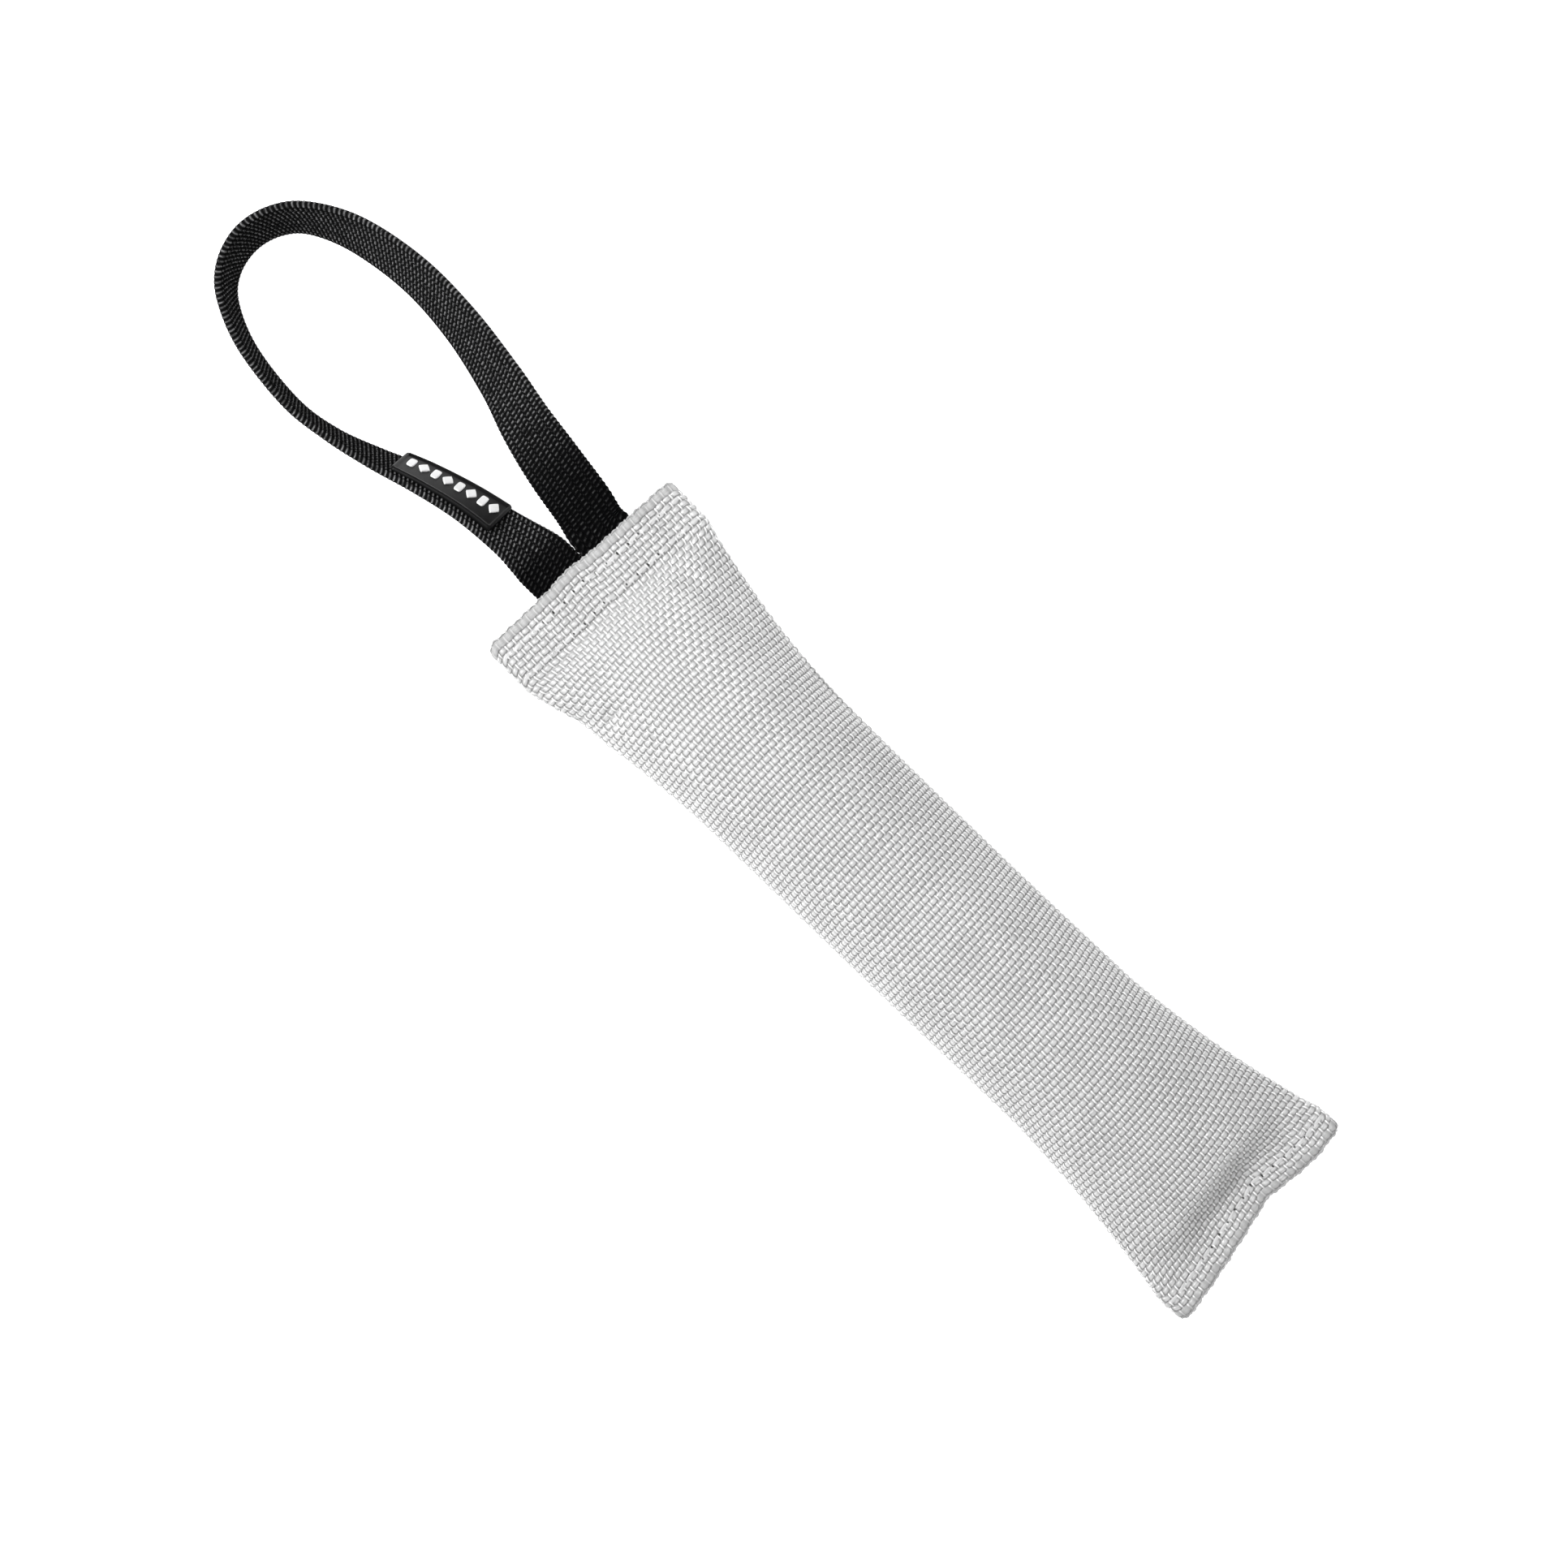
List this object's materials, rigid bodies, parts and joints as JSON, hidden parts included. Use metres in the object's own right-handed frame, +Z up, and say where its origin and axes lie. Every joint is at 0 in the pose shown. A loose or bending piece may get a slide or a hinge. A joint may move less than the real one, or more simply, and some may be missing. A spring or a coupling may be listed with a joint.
{
  "type": "training bumper",
  "caption": "Stuffed tube of woven hose fabric with flat stitched hems and a twisted webbing loop handle that folds at one hem, for dog fetch and bite training.",
  "frame": {"origin": "middle of the whole object's box, on the surface that it lies on", "axes": "+X along the tube from the handle to the far hem, +Z up from the surface, +Y across the tube towards the side of the right strap tail"},
  "size_m": [0.4587, 0.0803, 0.039],
  "materials": {
    "woven_hose": "coarse plain weave of white synthetic yarn, slightly glossy",
    "filling": "soft fibre roll, hidden",
    "sewing_thread": "flat white bonded thread",
    "webbing": "thick ribbed black webbing",
    "label_rubber": "satin moulded rubber",
    "label_marks": "satin moulded rubber, white"
  },
  "bodies": {
    "bumper": {"jacket": "woven_hose", "stuffing_core": "filling", "strap_tail_left": "webbing", "strap_tail_right": "webbing", "handle_hem_outer_needle_thread": "sewing_thread", "handle_hem_outer_bobbin_thread": "sewing_thread", "handle_hem_inner_needle_thread": "sewing_thread", "handle_hem_inner_bobbin_thread": "sewing_thread", "far_hem_needle_thread": "sewing_thread", "far_hem_bobbin_thread": "sewing_thread"},
    "handle": {"handle_loop": "webbing", "label_plate": "label_rubber", "label_mark_1": "label_marks", "label_mark_2": "label_marks", "label_mark_3": "label_marks", "label_mark_4": "label_marks", "label_mark_5": "label_marks", "label_mark_6": "label_marks", "label_mark_7": "label_marks", "label_mark_8": "label_marks"}
  },
  "joints": [
    {"name": "handle_fold", "type": "hinge", "parent": "bumper", "child": "handle", "pos_m": [-0.07995, 0.0028, 0.01876], "axis": [0, 1, 0], "range_deg": [-105, 105]}
  ]
}
